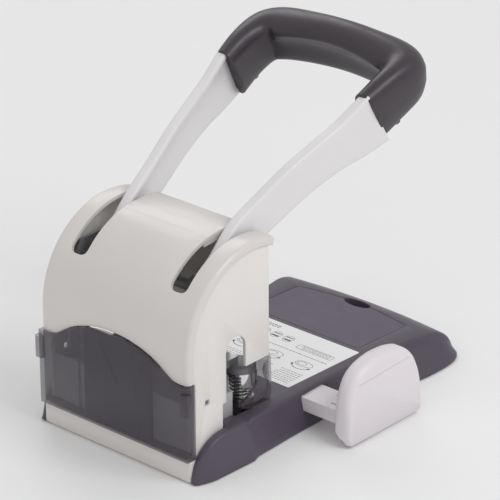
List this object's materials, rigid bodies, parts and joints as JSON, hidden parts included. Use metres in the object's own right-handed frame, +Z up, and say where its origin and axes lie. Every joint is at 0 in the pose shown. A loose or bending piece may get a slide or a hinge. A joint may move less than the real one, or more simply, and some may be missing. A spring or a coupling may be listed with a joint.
{
  "type": "two-hole desktop paper punch",
  "caption": "Heavy-duty desktop two-hole paper punch with a long lever handle, arched head, chip drawer, sliding paper guide and storage lid.",
  "frame": {"origin": "on the desk, midway between the two punch axes, at the bottom of the middle rubber pad", "axes": "+Z up, -Y towards the user (the paper side), +X across, to the user's right"},
  "size_m": [0.193, 0.2654, 0.2339],
  "materials": {
    "base_plastic": "charcoal moulded plastic, satin",
    "lid_plastic": "charcoal moulded plastic, satin",
    "underside_plastic": "dark moulded plastic, matt",
    "grip_plastic": "dark charcoal moulded grip, satin",
    "head_plastic": "warm light grey, satin",
    "panel_plastic": "warm light grey, satin",
    "arm_plastic": "light grey, satin",
    "guide_plastic": "light grey, satin",
    "tray_plastic": "light grey, satin",
    "cap_plastic": "mid grey, satin",
    "insert_plastic": "near black, satin",
    "smoked_plastic": "translucent smoked grey, glossy",
    "steel": "zinc-plated sheet steel",
    "dark_steel": "blackened steel",
    "tool_steel": "ground tool steel",
    "chrome": "bright chrome",
    "brass": "turned brass",
    "rubber": "black rubber",
    "label_film": null
  },
  "bodies": {
    "base": {"base_shell": "base_plastic", "bottom_cover": "underside_plastic", "base_plate": "steel", "desk_pads": "rubber", "base_screws": "dark_steel", "info_label": "label_film", "die_block": "dark_steel", "die_ring_left": "tool_steel", "die_ring_right": "tool_steel", "side_panel_left": "panel_plastic", "side_panel_right": "panel_plastic", "head_cover": "head_plastic", "front_fascia": "head_plastic", "rear_sill": "head_plastic", "side_frame_left": "steel", "side_frame_right": "steel", "guide_bridge": "steel", "guide_columns": "steel", "column_tie": "steel", "paper_stop": "dark_steel", "frame_screws": "dark_steel", "finger_guard_left": "smoked_plastic", "finger_guard_right": "smoked_plastic", "handle_axle": "steel", "axle_clips": "dark_steel", "lid_hinge_pin": "dark_steel"},
    "handle": {"arm_left": "arm_plastic", "arm_right": "arm_plastic", "grip": "grip_plastic", "cam_left": "steel", "cam_right": "steel", "grip_screws": "dark_steel"},
    "punch_carriage": {"press_yoke": "steel", "column_bushes": "brass", "roller_left": "steel", "roller_right": "steel", "roller_pins": "steel", "punch_cap_left": "cap_plastic", "punch_cap_right": "cap_plastic", "punch_cup_left": "chrome", "punch_cup_right": "chrome", "punch_pin_left": "tool_steel", "punch_pin_right": "tool_steel", "punch_spring_left": "dark_steel", "punch_spring_right": "dark_steel"},
    "stripper_feet": {"stripper_foot_left": "chrome", "stripper_foot_right": "chrome"},
    "chip_drawer": {"bin_cover": "smoked_plastic", "chip_tray": "tray_plastic", "bin_insert": "insert_plastic"},
    "paper_guide": {"guide_bar": "guide_plastic", "guide_plate": "guide_plastic"},
    "storage_lid": {"storage_lid": "lid_plastic"}
  },
  "joints": [
    {"name": "handle_hinge", "type": "hinge", "parent": "base", "child": "handle", "pos_m": [0, 0.0295, 0.11], "axis": [-1, 0, 0], "range_deg": [0, 75]},
    {"name": "carriage_slide", "type": "slide", "parent": "base", "child": "punch_carriage", "axis": [0, 0, 1], "range_m": [0, 0.02]},
    {"name": "feet_slide", "type": "slide", "parent": "punch_carriage", "child": "stripper_feet", "axis": [0, 0, -1], "range_m": [0, 0.004], "deforming": ["punch_spring_left", "punch_spring_right"]},
    {"name": "drawer_slide", "type": "slide", "parent": "base", "child": "chip_drawer", "axis": [0, 1, 0], "range_m": [0, 0.085]},
    {"name": "guide_slide", "type": "slide", "parent": "base", "child": "paper_guide", "axis": [-1, 0, 0], "range_m": [-0.02, 0.05]},
    {"name": "lid_hinge", "type": "hinge", "parent": "base", "child": "storage_lid", "pos_m": [0, -0.108, 0.02118], "axis": [-1, 0, 0], "range_deg": [0, 100]}
  ],
  "couplings": [
    {"joint": "carriage_slide", "follows": "handle_hinge", "m_per_rad": 0.01527},
    {"joint": "feet_slide", "follows": "handle_hinge", "m_per_rad": 0.00305}
  ]
}
